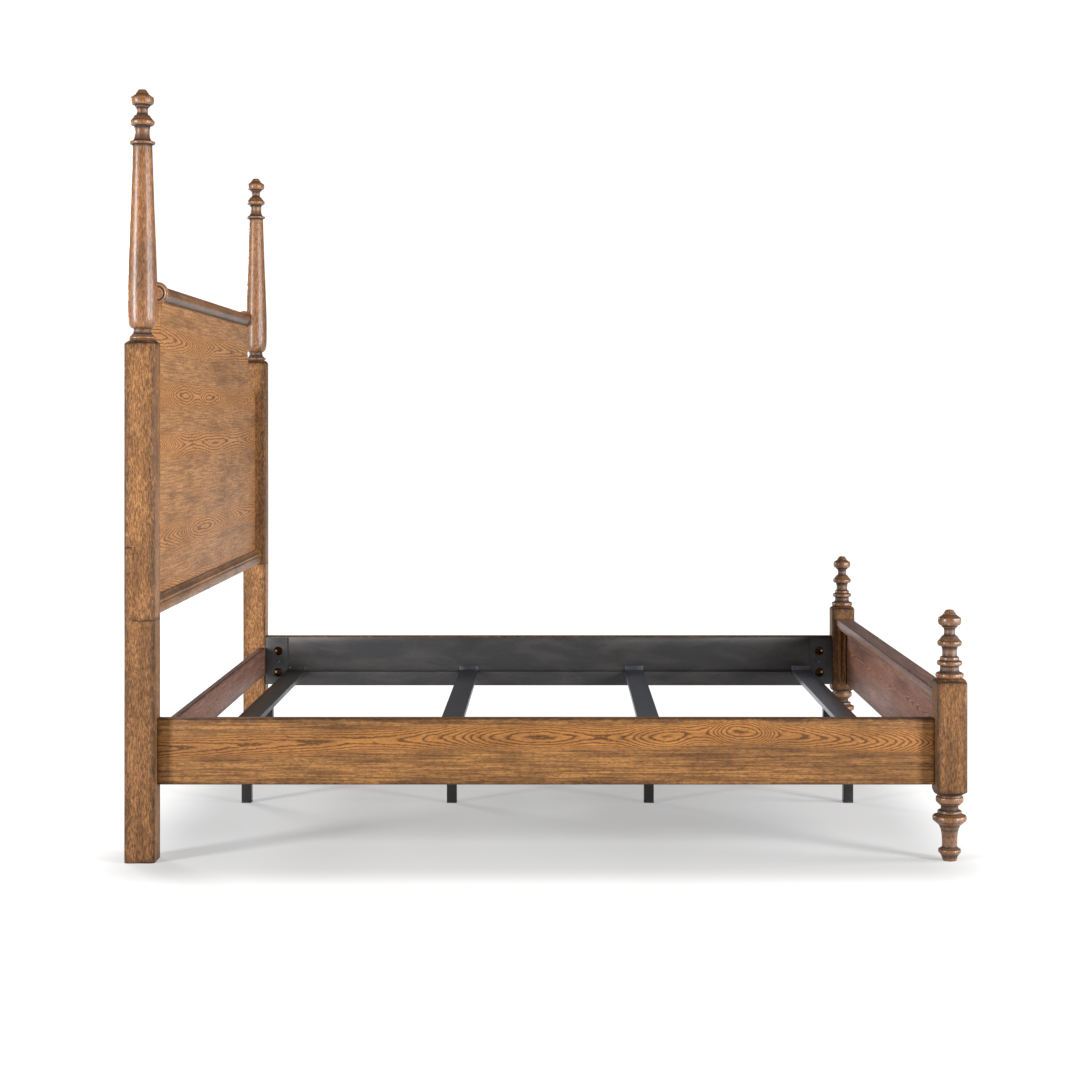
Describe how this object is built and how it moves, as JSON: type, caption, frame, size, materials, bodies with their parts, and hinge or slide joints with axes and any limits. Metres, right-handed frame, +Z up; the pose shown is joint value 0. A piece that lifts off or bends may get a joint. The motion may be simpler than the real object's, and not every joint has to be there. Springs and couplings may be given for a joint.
{
  "type": "poster bed frame",
  "caption": "King-size poster bed frame: tall turned head posts, roll-topped scooped headboard, low finialled foot posts, panelled footboard, oak side rails lined with steel, and steel slats.",
  "frame": {"origin": "on the floor, at the middle of the bed's box in plan", "axes": "+Z up; +X from the head of the bed to its foot; +Y across the bed, toward the sleeper's left side when lying on their back"},
  "size_m": [2.2556, 2.096, 2.071],
  "materials": {
    "post_oak": "glazed oak, satin",
    "turned_oak": "glazed turned oak, semi-gloss",
    "panel_oak": "glazed oak veneer, satin",
    "rail_oak": "glazed oak, satin",
    "red_oak": "reddish stained oak, satin",
    "black_steel": "hand-rubbed black, satin",
    "slat_steel": "dark grey, semi-gloss",
    "bolt_steel": "yellow-passivated zinc"
  },
  "bodies": {
    "root": {"bed_bolt_far_foot_1": "bolt_steel", "bed_bolt_far_foot_2": "bolt_steel", "bed_bolt_far_head_1": "bolt_steel", "bed_bolt_far_head_2": "bolt_steel", "bed_bolt_near_foot_1": "bolt_steel", "bed_bolt_near_foot_2": "bolt_steel", "bed_bolt_near_head_1": "bolt_steel", "bed_bolt_near_head_2": "bolt_steel", "foot_finial_far": "turned_oak", "foot_finial_near": "turned_oak", "foot_post_block_far": "post_oak", "foot_post_block_near": "post_oak", "footboard_cap": "red_oak", "footboard_moulding_far": "red_oak", "footboard_moulding_near": "red_oak", "footboard_moulding_top": "red_oak", "footboard_panel": "red_oak", "head_leg_far": "post_oak", "head_leg_near": "post_oak", "head_post_block_far": "post_oak", "head_post_block_near": "post_oak", "head_post_turning_far": "turned_oak", "head_post_turning_near": "turned_oak", "head_stretcher": "red_oak", "headboard_bottom_moulding": "post_oak", "headboard_panel": "panel_oak", "headboard_roll": "turned_oak", "lap_bolt_far_1": "bolt_steel", "lap_bolt_far_2": "bolt_steel", "lap_bolt_near_1": "bolt_steel", "lap_bolt_near_2": "bolt_steel", "rail_end_plate_far_foot": "black_steel", "rail_end_plate_far_head": "black_steel", "rail_end_plate_near_foot": "black_steel", "rail_end_plate_near_head": "black_steel", "rail_ledge_far": "black_steel", "rail_ledge_near": "black_steel", "rail_liner_far": "black_steel", "rail_liner_near": "black_steel", "roll_end_cap_far": "turned_oak", "roll_end_cap_near": "turned_oak", "side_rail_far": "rail_oak", "side_rail_near": "rail_oak", "slat_1": "slat_steel", "slat_2": "slat_steel", "slat_3": "slat_steel", "slat_4": "slat_steel", "slat_leg_1_far": "black_steel", "slat_leg_1_near": "black_steel", "slat_leg_2_far": "black_steel", "slat_leg_2_near": "black_steel", "slat_leg_3_far": "black_steel", "slat_leg_3_near": "black_steel", "slat_leg_4_far": "black_steel", "slat_leg_4_near": "black_steel", "turned_foot_far": "turned_oak", "turned_foot_near": "turned_oak"}
  },
  "joints": []
}
